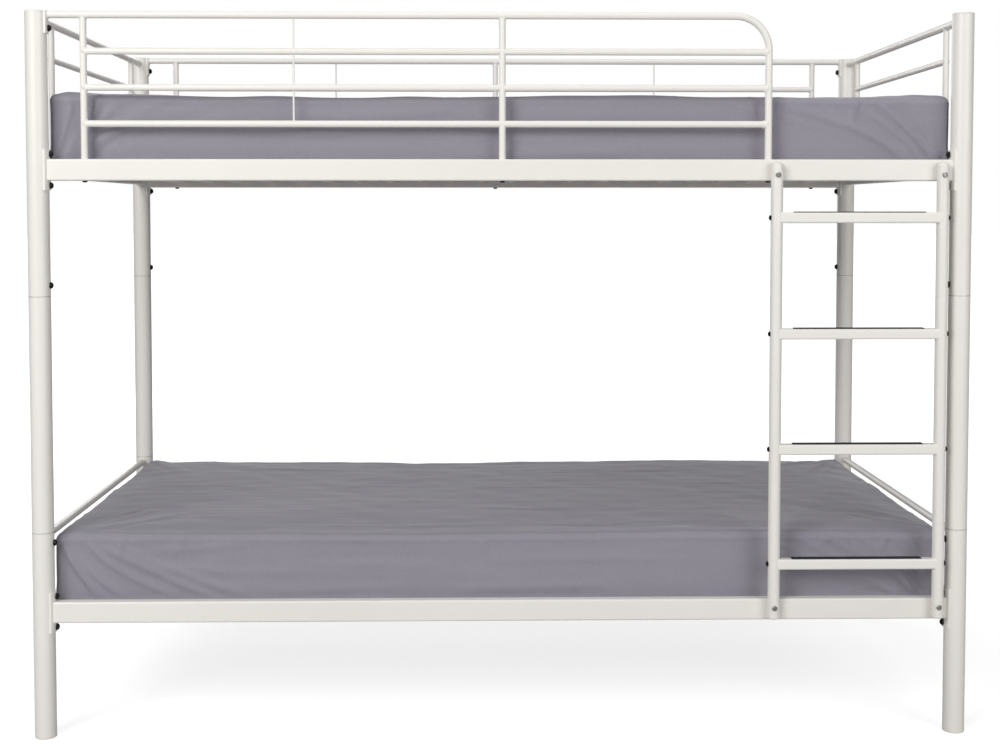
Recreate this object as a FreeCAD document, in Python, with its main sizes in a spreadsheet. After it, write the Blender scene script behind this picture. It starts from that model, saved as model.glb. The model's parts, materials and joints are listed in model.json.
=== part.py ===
import FreeCAD, Part
import math
import os
import Sketcher
from FreeCAD import Placement, Rotation, Vector

# Bunk bed of welded and bolted steel tube with a ladder and two mattresses.
# X runs along the bed, Y from the ladder side to the wall side, Z up.  The origin is on
# the floor, under the middle of the box that encloses the bed and its ladder.

doc = FreeCAD.newDocument("bunk_bed")

# ------------------------------------------------------------------ driving dimensions
DIMENSIONS = (
    ("bed_length", 1977, "over the posts, along X"),
    ("bed_width", 982, "over the posts, along Y"),
    ("bed_height", 1525, "floor to the top of the post caps"),
    ("fit_gap", 0.3, "radial clearance of plugs, sleeves and bolts in their bores"),
    ("post_diameter", 45, "round tube of the four posts"),
    ("post_wall", 1.5, "wall of the post tube"),
    ("lower_seam", 437, "floor to the joint of lower and middle post sections"),
    ("upper_seam", 933, "floor to the joint of middle and upper post sections"),
    ("cap_thickness", 4, "flange of the plastic cap on a post"),
    ("foot_thickness", 6, "sole of the plastic foot under a post"),
    ("plug_length", 24, "spigot of a cap or foot inside the post"),
    ("plug_wall", 3, "wall of that hollow spigot"),
    ("coupler_length", 110, "sleeve inside two post sections"),
    ("coupler_wall", 2, "wall of the sleeve"),
    ("coupler_bolt_offset", 23, "seam to the bolt that locks the sleeve"),
    ("upper_rail_top", 1219, "floor to the top of the upper side rails"),
    ("lower_rail_top", 290, "floor to the top of the lower side rails"),
    ("rail_height", 45, "side rail section, upright"),
    ("rail_thickness", 25, "side rail section, across"),
    ("rail_wall", 1.5, "wall of the rectangular tubes"),
    ("rail_corner", 4, "outer corner radius of the rectangular tubes"),
    ("bracket_thickness", 3, "saddle plate between a rail end and its post"),
    ("bracket_width", 34, "saddle plate across the rail"),
    ("bracket_overhang", 20, "saddle plate past the top and bottom of the rail"),
    ("bracket_bolt_offset", 10, "rail edge to the bolt above or below it"),
    ("frame_bolt_shank", 8, "bolts into the posts"),
    ("frame_bolt_length", 22, "shank of those bolts"),
    ("frame_bolt_head", 14, "button head across"),
    ("frame_bolt_head_height", 5.5, "button head"),
    ("slat_count", 22, "round slats in each bunk"),
    ("slat_diameter", 13, "slat tube"),
    ("slat_wall", 1, "wall of the slat tube"),
    ("slat_margin", 115, "post axis to the nearest slat"),
    ("slat_drop", 20, "top of a side rail down to the top of the slats"),
    ("slat_entry", 6, "length of a slat end inside its side rail"),
    ("end_rail_diameter", 16, "top tube of the upper ends and tube of the lower ends"),
    ("end_bar_diameter", 13, "thinner tubes of the upper ends"),
    ("light_wall", 1.2, "wall of the round rails and guard tubes"),
    ("upper_end_rail_drop", 15, "top of the posts to the axis of the upper end rail"),
    ("upper_end_bar_drop", 90, "top of the posts to the axis of the bar below it"),
    ("end_upright_inset", 108, "post axis to the upright of the upper end, along Y"),
    ("lower_end_rail_drop", 13, "lower seam down to the axis of the lower end rail"),
    ("cross_rail_height", 30, "rectangular rail across the bed under a mattress end"),
    ("cross_rail_thickness", 20, "the same rail, along X"),
    ("guard_top_diameter", 15, "top tube of both guards"),
    ("guard_bar_diameter", 14, "uprights and lower rails of both guards"),
    ("guard_pitch", 75, "one guard rail to the next"),
    ("guard_end_inset", 97, "post axis to the first guard upright"),
    ("guard_gate", 408, "right post axis to the last upright of the front guard"),
    ("guard_bend_radius", 70, "axis of the bent end of the front guard"),
    ("guard_rod_diameter", 4, "thin rods halfway between the guard uprights"),
    ("guard_bracket_drop", 28, "axis of the guard's top tube down to its bolt"),
    ("guard_bracket_edge", 11, "bolt to the lower edge of the guard bracket"),
    ("guard_bracket_width", 24, "guard bracket across"),
    ("thin_bolt_shank", 6, "bolts of the ladder and of the guard uprights"),
    ("thin_bolt_head", 11, "their button head across"),
    ("thin_bolt_head_height", 3.5, "their button head"),
    ("guard_insert_length", 25, "threaded plug in the foot of a guard upright"),
    ("guard_bolt_grip", 20, "guard bolt past the side rail, into that plug"),
    ("stile_diameter", 25, "round tube of the ladder sides"),
    ("stile_wall", 1.5, "wall of that tube"),
    ("ladder_width", 348, "axis to axis of the ladder sides"),
    ("ladder_inset", 46, "right post axis to the axis of the right ladder side"),
    ("ladder_top_drop", 5, "top of the upper side rail to the top of the ladder"),
    ("ladder_foot_rise", 5, "bottom of the lower side rail to the foot of the ladder"),
    ("ladder_bolt_drop", 33, "top of the upper side rail to the upper ladder bolts"),
    ("ladder_bolt_rise", 31, "bottom of the lower side rail to the lower ladder bolts"),
    ("stile_cap_crown", 9, "domed plug on top of a ladder side"),
    ("stile_foot_crown", 4, "flatter plug in the foot of a ladder side"),
    ("stile_plug_length", 14, "spigot of those plugs"),
    ("rung_bolt_grip", 16, "rung bolt inside the end of its rung"),
    ("ladder_bolt_grip", 14, "ladder bolt past the ladder side, into the side rail"),
    ("rung_height", 22, "rung section, upright"),
    ("rung_depth", 22, "rung section, across"),
    ("rung_pitch", 243, "one rung to the next"),
    ("first_rung_top", 1108, "floor to the top of the highest rung"),
    ("tread_length", 274, "rubber strip on a rung"),
    ("tread_width", 16, "rubber strip, across"),
    ("tread_thickness", 2, "rubber strip"),
    ("mattress_end_gap", 3.5, "mattress to the end rails at each of its ends"),
    ("mattress_side_gap", 6, "mattress to the side rails at each of its sides"),
    ("mattress_thickness", 150, "both mattresses"),
    ("mattress_corner", 15, "corner radius of a mattress seen from above"),
    ("mattress_edge", 12, "rounding of its top and bottom edges"),
    ("mattress_gap", 0.3, "mattress above the slats"),
)

dims = doc.addObject("Spreadsheet::Sheet", "dims")
for row, (alias, value, meaning) in enumerate(DIMENSIONS, start=1):
    dims.set(f"A{row}", meaning)
    dims.set(f"B{row}", str(value))
    dims.setAlias(f"B{row}", alias)
doc.recompute()

# ------------------------------------------------------- places worked out from them
POST_X = "((dims.bed_length - dims.post_diameter) / 2)"
POST_SPAN_Y = "(dims.bed_width - dims.post_diameter)"
LADDER_REACH = "(dims.rail_thickness / 2 + dims.stile_diameter + dims.thin_bolt_head_height)"
FRONT_REACH = f"max(dims.post_diameter / 2; {LADDER_REACH})"
FRONT_Y = f"(({FRONT_REACH} - {POST_SPAN_Y} - dims.post_diameter / 2) / 2)"
BACK_Y = f"({FRONT_Y} + {POST_SPAN_Y})"
POST_BORE = "(dims.post_diameter - 2 * dims.post_wall)"
TUBE_TOP = "(dims.bed_height - dims.cap_thickness)"
GUARD_Z = "(dims.bed_height - dims.guard_top_diameter / 2)"
GUARD_BOLT_Z = f"({GUARD_Z} - dims.guard_bracket_drop)"
UPPER_RAIL_Z = "(dims.upper_rail_top - dims.rail_height / 2)"
LOWER_RAIL_Z = "(dims.lower_rail_top - dims.rail_height / 2)"
STILE_Y = f"({FRONT_Y} - (dims.rail_thickness + dims.stile_diameter) / 2)"
RIGHT_STILE_X = f"({POST_X} - dims.ladder_inset)"
LEFT_STILE_X = f"({RIGHT_STILE_X} - dims.ladder_width)"
LADDER_TOP = "(dims.upper_rail_top - dims.ladder_top_drop)"
LADDER_FOOT = "(dims.lower_rail_top - dims.rail_height + dims.ladder_foot_rise)"
FRAME_BOLT_HOLE = "(dims.frame_bolt_shank + 2 * dims.fit_gap)"
THIN_BOLT_HOLE = "(dims.thin_bolt_shank + 2 * dims.fit_gap)"
MATTRESS_Y = f"({FRONT_Y} + {POST_SPAN_Y} / 2)"
MATTRESS_LENGTH = f"(2 * {POST_X} - dims.end_rail_diameter - 2 * dims.mattress_end_gap)"
MATTRESS_WIDTH = f"({POST_SPAN_Y} - dims.rail_thickness - 2 * dims.mattress_side_gap)"

SIDES_X = (("left", f"(-1 * {POST_X})", "+"), ("right", POST_X, "-"))
SIDES_Y = (("front", FRONT_Y), ("back", BACK_Y))
BUNKS = (("upper", "dims.upper_rail_top"), ("lower", "dims.lower_rail_top"))
TURNS = {
    "X": Rotation(Vector(0, 1, 0), 90),
    "-X": Rotation(Vector(0, 1, 0), -90),
    "Y": Rotation(Vector(1, 0, 0), -90),
    "-Y": Rotation(Vector(1, 0, 0), 90),
    "Z": Rotation(),
    "-Z": Rotation(Vector(1, 0, 0), 180),
}
nodes = []


# ----------------------------------------------------------------------- shop functions
def bind(piece, expressions):
    """Tie properties of a piece to expressions of the sheet."""
    for property_name, expression in expressions.items():
        piece.setExpression(property_name, str(expression))


def put(piece, place, turn=Rotation()):
    """Give a piece its turn and bind its base point."""
    piece.Placement = Placement(Vector(), turn)
    bind(piece, {f"Placement.Base.{axis}": at for axis, at in zip("xyz", place)})
    return piece


def node(label, piece):
    """Make a piece one named part of the bed."""
    piece.Label = label
    nodes.append(piece)
    return piece


def rod(axis, place, length, diameter):
    """Solid cylinder from a point along an axis."""
    piece = doc.addObject("Part::Cylinder", "rod")
    bind(piece, {"Radius": f"({diameter}) / 2", "Height": length})
    return put(piece, place, TURNS[axis])


def cone(axis, place, length, first_diameter, last_diameter):
    """Solid cone frustum from a point along an axis."""
    piece = doc.addObject("Part::Cone", "cone")
    bind(piece, {"Radius1": f"({first_diameter}) / 2", "Radius2": f"({last_diameter}) / 2"})
    bind(piece, {"Height": length})
    return put(piece, place, TURNS[axis])


def block(place, length, depth, height):
    """Solid box from its lowest corner."""
    piece = doc.addObject("Part::Box", "block")
    bind(piece, {"Length": length, "Width": depth, "Height": height})
    return put(piece, place)


def group(pieces):
    """Separate solids kept together."""
    piece = doc.addObject("Part::Compound", "group")
    piece.Links = pieces
    return piece


def fuse(pieces):
    """One solid from touching ones."""
    piece = doc.addObject("Part::MultiFuse", "fuse")
    piece.Shapes = pieces
    return piece


def cut(base, tool):
    """A solid or a group less a tool."""
    piece = doc.addObject("Part::Cut", "cut")
    piece.Base = base
    piece.Tool = tool
    return piece


def common(base, tool):
    """What two solids share."""
    piece = doc.addObject("Part::Common", "common")
    piece.Base = base
    piece.Tool = tool
    return piece


def tube(axis, place, length, diameter, wall):
    """Round tube, open at both ends."""
    bore = rod(axis, place, length, f"{diameter} - 2 * {wall}")
    return cut(rod(axis, place, length, diameter), bore)


def moved(place, axis, distance):
    """A place some distance along X, Y or Z from another one."""
    sign = "-" if axis.startswith("-") else "+"
    index = "XYZ".index(axis[-1])
    return tuple(f"({at} {sign} {distance})" if i == index else at for i, at in enumerate(place))


def opposite(axis):
    """The same axis, the other way."""
    return axis[1:] if axis.startswith("-") else "-" + axis


HEAD_RIM = 0.4        # upright rim of a button head, as a share of its height
HEAD_FLAT = 0.62      # flat on its crown, as a share of its diameter
SOCKET_CORNER = 0.27  # corner radius of its hexagon socket, as a share of its diameter
SOCKET_FLOOR = 0.45   # seat to the floor of the socket, as a share of its height


def bolt(axis, seat, shank_length, size):
    """Button-head bolt with a hexagon socket: its head sits on seat, its shank runs along axis."""
    shank, head, height = (f"dims.{size}_bolt_{part}" for part in ("shank", "head", "head_height"))
    outward = opposite(axis)
    rim = f"({height} * {HEAD_RIM})"
    socket = doc.addObject("Part::Prism", "socket")
    socket.Polygon = 6
    bind(socket, {"Circumradius": f"{head} * {SOCKET_CORNER}", "Height": height})
    put(socket, moved(seat, outward, f"{height} * {SOCKET_FLOOR}"), TURNS[outward])
    body = fuse([
        rod(axis, seat, shank_length, shank),
        rod(outward, seat, rim, head),
        cone(outward, moved(seat, outward, rim), f"{height} - {rim}", head, f"{head} * {HEAD_FLAT}"),
    ])
    return cut(body, socket)


def rounded_rectangle(sketch, width, height, radius, name):
    """Centred rectangle with rounded corners, its three sizes bound to the sheet."""
    half, corner = 10.0, 2.0
    first = sketch.GeometryCount
    arcs = []
    for across, up, start in ((1, -1, -90), (1, 1, 0), (-1, 1, 90), (-1, -1, 180)):
        centre = Vector(across * (half - corner), up * (half - corner), 0)
        circle = Part.Circle(centre, Vector(0, 0, 1), corner)
        arcs.append(Part.ArcOfCircle(circle, math.radians(start), math.radians(start + 90)))
    for i, arc in enumerate(arcs):
        sketch.addGeometry(arc, False)
        following = arcs[(i + 1) % 4]
        sketch.addGeometry(Part.LineSegment(arc.EndPoint, following.StartPoint), False)
    right, top, left, bottom = (first + i for i in (1, 3, 5, 7))
    for i in range(8):
        sketch.addConstraint(Sketcher.Constraint("Tangent", first + i, 2, first + (i + 1) % 8, 1))
    for i in (right, left):
        sketch.addConstraint(Sketcher.Constraint("Vertical", i))
    for i in (top, bottom):
        sketch.addConstraint(Sketcher.Constraint("Horizontal", i))
    for i in (2, 4, 6):
        sketch.addConstraint(Sketcher.Constraint("Equal", first, first + i))
    sketch.addConstraint(Sketcher.Constraint("Symmetric", right, 1, left, 1, -1, 1))
    sizes = (
        ("width", width, Sketcher.Constraint("DistanceX", left, 1, right, 1, 2 * half)),
        ("height", height, Sketcher.Constraint("DistanceY", bottom, 1, top, 1, 2 * half)),
        ("radius", radius, Sketcher.Constraint("Radius", first, corner)),
    )
    for kind, size, constraint in sizes:
        index = sketch.addConstraint(constraint)
        sketch.renameConstraint(index, f"{name}_{kind}")
        sketch.setExpression(f"Constraints.{name}_{kind}", size)


def new_body(plane_role):
    """Body with an empty sketch on one of its own origin planes."""
    body = doc.addObject("PartDesign::Body", "body")
    sketch = body.newObject("Sketcher::SketchObject", "section")
    plane = next(item for item in body.Origin.OriginFeatures if item.Role == plane_role)
    sketch.AttachmentSupport = [(plane, "")]
    sketch.MapMode = "FlatFace"
    return body, sketch


def rectangular_tube(axis, place, length, across, height):
    """Rectangular tube with rounded edges, along X or Y from the middle of its first end."""
    body, sketch = new_body("YZ_Plane" if axis == "X" else "XZ_Plane")
    inner_radius = "dims.rail_corner - dims.rail_wall"
    rounded_rectangle(sketch, across, height, "dims.rail_corner", "outer")
    inside = (f"{size} - 2 * dims.rail_wall" for size in (across, height))
    rounded_rectangle(sketch, *inside, inner_radius, "inner")
    pad = body.newObject("PartDesign::Pad", "pad")
    pad.Profile = sketch
    pad.Reversed = axis == "Y"
    bind(pad, {"Length": length})
    return put(body, place)


def saddle(x, y, inward, bottom, height, width):
    """Curved plate against the inner side of a post."""
    outer = "(dims.post_diameter + 2 * dims.bracket_thickness)"
    ring = tube("Z", (x, y, bottom), height, outer, "dims.bracket_thickness")
    low_x = x if inward == "+" else f"({x} - dims.post_diameter)"
    clip = block((low_x, f"({y} - {width} / 2)", bottom), "dims.post_diameter", width, height)
    return common(ring, clip)


# ------------------------------------------------------------- where the bolts go
# Every bolt into a post stands on its inner side.  A bracket or the bare tube carries its head.
def shank_axis(inward):
    """The way a bolt points into a post whose inner side faces + or - X."""
    return "-X" if inward == "+" else "X"


RAIL_BOLT_REACH = "(dims.rail_height / 2 + dims.bracket_bolt_offset)"
rail_bolt_heights = [
    f"({rail_z} {sign} {RAIL_BOLT_REACH})" for rail_z in (LOWER_RAIL_Z, UPPER_RAIL_Z) for sign in "-+"
]
coupler_bolt_heights = [
    "(dims.lower_seam - dims.coupler_bolt_offset)",
    "(dims.upper_seam + dims.coupler_bolt_offset)",
]
POSTS = [
    (f"{row}_{side}", x, y, inward)
    for row, y in SIDES_Y
    for side, x, inward in SIDES_X
]
GUARDED_POSTS = [post for post in POSTS if post[0] != "front_right"]


def frame_bolts(posts, heights, plate):
    """One bolt into each post at each height, its head on a plate of that thickness."""
    bolts = []
    for _, x, y, inward in posts:
        seat_x = f"({x} {inward} (dims.post_diameter / 2 + {plate}))"
        for z in heights:
            bolts.append(bolt(shank_axis(inward), (seat_x, y, z), "dims.frame_bolt_length", "frame"))
    return group(bolts)


def frame_bolt_holes(post):
    """Clearance holes through the inner wall of one post and all that it carries there."""
    _, x, y, inward = post
    heights = rail_bolt_heights + coupler_bolt_heights
    if post in GUARDED_POSTS:
        heights = heights + [GUARD_BOLT_Z]
    start_x = f"({x} {inward} dims.post_diameter)"
    return group([
        rod(shank_axis(inward), (start_x, y, z), "dims.post_diameter", FRAME_BOLT_HOLE)
        for z in heights
    ])


post_holes = {post[0]: frame_bolt_holes(post) for post in POSTS}
all_post_holes = group(list(post_holes.values()))
post_solids = group([rod("Z", (x, y, "0"), "dims.bed_height", "dims.post_diameter")
                     for _, x, y, _ in POSTS])
saddle_solids = group([
    rod("Z", (x, y, "0"), "dims.bed_height", "dims.post_diameter + 2 * dims.bracket_thickness")
    for _, x, y, _ in POSTS
])

# --------------------------------------------------------------------------- the posts
SECTIONS = (
    ("lower", "dims.foot_thickness", "dims.lower_seam"),
    ("middle", "dims.lower_seam", "dims.upper_seam"),
    ("upper", "dims.upper_seam", TUBE_TOP),
)
for label, x, y, _ in POSTS:
    for section, bottom, top in SECTIONS:
        shell = tube("Z", (x, y, bottom), f"{top} - {bottom}", "dims.post_diameter", "dims.post_wall")
        node(f"{label}_post_{section}", cut(shell, post_holes[label]))

PLUG_DIAMETER = f"({POST_BORE} - 2 * dims.fit_gap)"
caps, feet, couplers = [], [], []
for _, x, y, _ in POSTS:
    edge = "dims.cap_thickness / 2"
    caps.append(fuse([
        rod("Z", (x, y, TUBE_TOP), edge, "dims.post_diameter"),
        cone("Z", (x, y, f"({TUBE_TOP} + {edge})"), edge, "dims.post_diameter",
             "dims.post_diameter - dims.cap_thickness"),
        tube("-Z", (x, y, TUBE_TOP), "dims.plug_length", PLUG_DIAMETER, "dims.plug_wall"),
    ]))
    feet.append(fuse([
        rod("Z", (x, y, "0"), "dims.foot_thickness", "dims.post_diameter"),
        tube("Z", (x, y, "dims.foot_thickness"), "dims.plug_length", PLUG_DIAMETER,
             "dims.plug_wall"),
    ]))
    for seam in ("dims.lower_seam", "dims.upper_seam"):
        bottom = f"({seam} - dims.coupler_length / 2)"
        couplers.append(tube("Z", (x, y, bottom), "dims.coupler_length", PLUG_DIAMETER,
                             "dims.coupler_wall"))
node("post_caps", group(caps))
node("post_feet", group(feet))
node("post_couplers", cut(group(couplers), all_post_holes))
node("coupler_bolts", frame_bolts(POSTS, coupler_bolt_heights, "0"))

# ------------------------------------------------------------- side rails and their slats
SLAT_PITCH = f"((2 * {POST_X} - 2 * dims.slat_margin) / (dims.slat_count - 1))"
RAIL_INNER = "(dims.rail_thickness / 2)"
SLAT_REACH = "(dims.slat_entry + dims.slat_wall)"
guard_bolt_places = {
    "front": [f"(dims.guard_end_inset - {POST_X})", "0", f"({POST_X} - dims.guard_gate)"],
    "back": [f"(dims.guard_end_inset - {POST_X})", "0", f"({POST_X} - dims.guard_end_inset)"],
}
ladder_bolt_heights = (
    "(dims.upper_rail_top - dims.ladder_bolt_drop)",
    "(dims.lower_rail_top - dims.rail_height + dims.ladder_bolt_rise)",
)
ladder_bolt_places = [(x, z) for x in (LEFT_STILE_X, RIGHT_STILE_X) for z in ladder_bolt_heights]
ladder_bolt_holes = [
    rod("Y", (x, f"({STILE_Y} - dims.stile_diameter)", z), "dims.stile_diameter * 2", THIN_BOLT_HOLE)
    for x, z in ladder_bolt_places
]


def slat_rods(rail_top, diameter, entry):
    """Solid rods on the axes of the slats, ending inside both side rails."""
    z = f"({rail_top} - dims.slat_drop - dims.slat_diameter / 2)"
    start_y = f"({FRONT_Y} + {RAIL_INNER} - {entry})"
    length = f"({POST_SPAN_Y} - 2 * {RAIL_INNER} + 2 * {entry})"
    first_x = f"(dims.slat_margin - {POST_X})"
    return group([
        rod("Y", (f"({first_x} + {i} * {SLAT_PITCH})", start_y, z), length, diameter)
        for i in range(int(dims.slat_count))
    ])


for bunk, rail_top in BUNKS:
    slat_holes = slat_rods(rail_top, "dims.slat_diameter + 2 * dims.fit_gap", SLAT_REACH)
    rail_z = f"({rail_top} - dims.rail_height / 2)"
    for row, y in SIDES_Y:
        holes = [slat_holes, saddle_solids]
        if bunk == "upper":
            bottom = "(dims.upper_rail_top - dims.rail_height - dims.rail_wall)"
            depth = "(dims.rail_height + 2 * dims.rail_wall)"
            holes += [rod("Z", (x, y, bottom), depth, THIN_BOLT_HOLE)
                      for x in guard_bolt_places[row]]
        if row == "front":
            holes += ladder_bolt_holes
        rail = rectangular_tube("X", (f"(-1 * {POST_X})", y, rail_z), f"2 * {POST_X}",
                                "dims.rail_thickness", "dims.rail_height")
        node(f"{bunk}_{row}_side_rail", cut(rail, group(holes)))
    brackets = [
        saddle(x, y, inward, f"({rail_top} - dims.rail_height - dims.bracket_overhang)",
               "(dims.rail_height + 2 * dims.bracket_overhang)", "dims.bracket_width")
        for _, x, y, inward in POSTS
    ]
    node(f"{bunk}_rail_brackets", cut(group(brackets), all_post_holes))
    slats = slat_rods(rail_top, "dims.slat_diameter", "dims.slat_entry")
    bores = slat_rods(rail_top, "dims.slat_diameter - 2 * dims.slat_wall", SLAT_REACH)
    node(f"{bunk}_slats", cut(slats, bores))
node("rail_bolts", frame_bolts(POSTS, rail_bolt_heights, "dims.bracket_thickness"))

# ------------------------------------------------------------------------ the two ends
END_RAIL_Z = "(dims.bed_height - dims.upper_end_rail_drop)"
END_BAR_Z = "(dims.bed_height - dims.upper_end_bar_drop)"
LOWER_END_Z = "(dims.lower_seam - dims.lower_end_rail_drop)"
for side, x, _ in SIDES_X:
    for bunk, z in (("upper", END_RAIL_Z), ("lower", LOWER_END_Z)):
        rail = tube("Y", (x, FRONT_Y, z), POST_SPAN_Y, "dims.end_rail_diameter", "dims.light_wall")
        node(f"{side}_{bunk}_end_rail", cut(rail, post_solids))
    for bunk, rail_z in (("upper", UPPER_RAIL_Z), ("lower", LOWER_RAIL_Z)):
        cross = rectangular_tube("Y", (x, FRONT_Y, rail_z), POST_SPAN_Y,
                                 "dims.cross_rail_thickness", "dims.cross_rail_height")
        node(f"{side}_{bunk}_cross_rail", cut(cross, post_solids))
    foot_z = f"({UPPER_RAIL_Z} + dims.cross_rail_height / 2)"
    upright_places = [f"({FRONT_Y} + dims.end_upright_inset)", f"({BACK_Y} - dims.end_upright_inset)"]
    uprights = [
        tube("Z", (x, y, foot_z), f"{END_RAIL_Z} - {foot_z}", "dims.end_bar_diameter",
             "dims.light_wall")
        for y in upright_places
    ]
    top_solid = rod("Y", (x, FRONT_Y, END_RAIL_Z), POST_SPAN_Y, "dims.end_rail_diameter")
    node(f"{side}_upper_end_uprights", cut(group(uprights), top_solid))
    upright_solids = group([
        rod("Z", (x, y, foot_z), f"{END_RAIL_Z} - {foot_z}", "dims.end_bar_diameter")
        for y in upright_places
    ])
    bar = tube("Y", (x, upright_places[0], END_BAR_Z), f"{upright_places[1]} - {upright_places[0]}",
               "dims.end_bar_diameter", "dims.light_wall")
    node(f"{side}_upper_end_bar", cut(bar, upright_solids))


# ---------------------------------------------------------------------------- the guards
def bent_rod(end_x, y, diameter):
    """Solid of the front guard's top tube: from the left post, round a bend, down to the rail."""
    start_x = f"(-1 * {POST_X})"
    bend_x = f"({end_x} - dims.guard_bend_radius)"
    bend_z = f"({GUARD_Z} - dims.guard_bend_radius)"
    elbow = doc.addObject("Part::Torus", "elbow")
    elbow.Angle3 = 90
    bind(elbow, {"Radius1": "dims.guard_bend_radius", "Radius2": f"({diameter}) / 2"})
    put(elbow, (bend_x, y, bend_z), Rotation(Vector(1, 0, 0), 90))
    return fuse([
        rod("X", (start_x, y, GUARD_Z), f"{bend_x} - {start_x}", diameter),
        elbow,
        rod("Z", (end_x, y, "dims.upper_rail_top"), f"{bend_z} - dims.upper_rail_top", diameter),
    ])


def guard_rods(y, spans, diameter):
    """Solid rods of the three lower guard rails in each bay."""
    return [
        rod("X", (start, y, f"({GUARD_Z} - {i} * dims.guard_pitch)"), f"{end} - {start}", diameter)
        for start, end in spans
        for i in (1, 2, 3)
    ]


def guard_infill(row, y, stations, top_solid, end_solids, thin_bays):
    """Uprights between the side rail and the top tube, lower rails and thin rods of one guard."""
    height = f"{GUARD_Z} - dims.upper_rail_top"
    foot = "dims.upper_rail_top"
    bar = "dims.guard_bar_diameter"
    own_uprights = [x for x in stations if not (row == "front" and x == stations[-1])]
    uprights = [tube("Z", (x, y, foot), height, bar, "dims.light_wall") for x in own_uprights]
    node(f"{row}_guard_uprights", cut(group(uprights), top_solid))
    spans = list(zip(stations, stations[1:]))
    bores = group(guard_rods(y, spans, f"{bar} - 2 * dims.light_wall"))
    stops = group([rod("Z", (x, y, foot), height, bar) for x in own_uprights] + end_solids)
    hollow = cut(group(guard_rods(y, spans, bar)), bores)
    node(f"{row}_guard_rails", cut(hollow, stops))
    rail_solids = group(guard_rods(y, spans, bar) + [top_solid])
    lowest_z = f"({GUARD_Z} - 3 * dims.guard_pitch)"
    rods = [
        rod("Z", (f"(({start} + {end}) / 2)", y, lowest_z), "3 * dims.guard_pitch",
            "dims.guard_rod_diameter")
        for start, end in spans[:thin_bays]
    ]
    node(f"{row}_guard_thin_rods", cut(group(rods), rail_solids))


BORE = "(dims.guard_top_diameter - 2 * dims.light_wall)"
front_end = guard_bolt_places["front"][-1]
front_top = bent_rod(front_end, FRONT_Y, "dims.guard_top_diameter")
front_tube = cut(front_top, bent_rod(front_end, FRONT_Y, BORE))
node("front_guard_top_tube", cut(front_tube, saddle_solids))
guard_infill("front", FRONT_Y, guard_bolt_places["front"], front_top, [front_top], 1)

back_start = (f"(-1 * {POST_X})", BACK_Y, GUARD_Z)
back_top = rod("X", back_start, f"2 * {POST_X}", "dims.guard_top_diameter")
back_tube = tube("X", back_start, f"2 * {POST_X}", "dims.guard_top_diameter", "dims.light_wall")
node("back_guard_top_tube", cut(back_tube, saddle_solids))
guard_infill("back", BACK_Y, guard_bolt_places["back"], back_top, [], 2)

bracket_bottom = f"({GUARD_BOLT_Z} - dims.guard_bracket_edge)"
bracket_height = f"(dims.bed_height - {bracket_bottom})"
guard_brackets = [
    saddle(x, y, inward, bracket_bottom, bracket_height, "dims.guard_bracket_width")
    for _, x, y, inward in GUARDED_POSTS
]
node("guard_brackets", cut(group(guard_brackets), all_post_holes))
node("guard_bracket_bolts", frame_bolts(GUARDED_POSTS, [GUARD_BOLT_Z], "dims.bracket_thickness"))

inserts, upright_bolts = [], []
for row, y in SIDES_Y:
    for x in guard_bolt_places[row]:
        bent_end = row == "front" and x == guard_bolt_places[row][-1]
        outer = "dims.guard_top_diameter" if bent_end else "dims.guard_bar_diameter"
        diameter = f"({outer} - 2 * dims.light_wall - 2 * dims.fit_gap)"
        wall = f"(({diameter} - dims.thin_bolt_shank) / 2)"
        inserts.append(tube("Z", (x, y, "dims.upper_rail_top"), "dims.guard_insert_length",
                            diameter, wall))
        seat = (x, y, "(dims.upper_rail_top - dims.rail_height)")
        upright_bolts.append(bolt("Z", seat, "dims.rail_height + dims.guard_bolt_grip",
                                  "thin"))
node("guard_upright_inserts", group(inserts))
node("guard_upright_bolts", group(upright_bolts))

# ---------------------------------------------------------------------------- the ladder
STILES = (("left", LEFT_STILE_X, "X"), ("right", RIGHT_STILE_X, "-X"))
rung_heights = [f"(dims.first_rung_top - {i} * dims.rung_pitch - dims.rung_height / 2)"
                for i in range(4)]
RUNG_GRIP = "dims.stile_diameter + dims.rung_bolt_grip"
rung_bolts, stile_caps, stile_solids = [], [], []
for side, x, inward in STILES:
    sign = "-" if side == "left" else "+"
    seat_x = f"({x} {sign} dims.stile_diameter / 2)"
    rung_holes = []
    for z in rung_heights:
        rung_bolts.append(bolt(inward, (seat_x, STILE_Y, z), RUNG_GRIP, "thin"))
        rung_holes.append(rod(inward, (seat_x, STILE_Y, z), "dims.stile_diameter", THIN_BOLT_HOLE))
    bottom = f"({LADDER_FOOT} + dims.stile_foot_crown)"
    top = f"({LADDER_TOP} - dims.stile_cap_crown)"
    stile = tube("Z", (x, STILE_Y, bottom), f"{top} - {bottom}", "dims.stile_diameter",
                 "dims.stile_wall")
    node(f"ladder_{side}_side", cut(stile, group(rung_holes + ladder_bolt_holes)))
    stile_solids.append(rod("Z", (x, STILE_Y, bottom), f"{top} - {bottom}", "dims.stile_diameter"))
    plug = "(dims.stile_diameter - 2 * dims.stile_wall - 2 * dims.fit_gap)"
    for axis, z, crown in (("Z", top, "dims.stile_cap_crown"), ("-Z", bottom, "dims.stile_foot_crown")):
        dome = doc.addObject("Part::Ellipsoid", "dome")
        dome.Angle1 = 0
        radius = "dims.stile_diameter / 2"
        bind(dome, {"Radius1": crown, "Radius2": radius, "Radius3": radius})
        put(dome, (x, STILE_Y, z), TURNS[axis])
        spigot = rod(opposite(axis), (x, STILE_Y, z), "dims.stile_plug_length", plug)
        stile_caps.append(fuse([dome, spigot]))
node("ladder_end_caps", group(stile_caps))

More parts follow.
